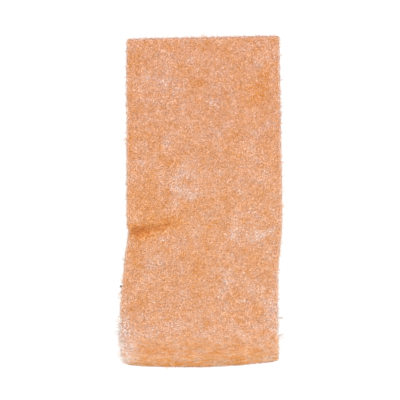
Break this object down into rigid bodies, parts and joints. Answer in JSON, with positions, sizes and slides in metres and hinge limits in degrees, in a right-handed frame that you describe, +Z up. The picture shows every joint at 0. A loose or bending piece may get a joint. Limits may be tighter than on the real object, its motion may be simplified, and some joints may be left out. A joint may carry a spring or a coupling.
{
  "type": "abrasive hand pad",
  "caption": "Rectangular abrasive hand pad of lofty salmon-orange nonwoven fibre, lying flat with its lower end curled up and a short crease in from its left side.",
  "frame": {"origin": "middle of the pad's box seen from above, on the surface that its flat back rests on", "axes": "+X across the pad to its right side, +Y along its length from the curled lower end to the straight upper edge, +Z up out of its working face"},
  "size_m": [0.1216, 0.2485, 0.0294],
  "materials": {
    "fibre_web": "matte, open and fibrous"
  },
  "bodies": {
    "root": {"abrasive_pad": "fibre_web"}
  },
  "joints": []
}
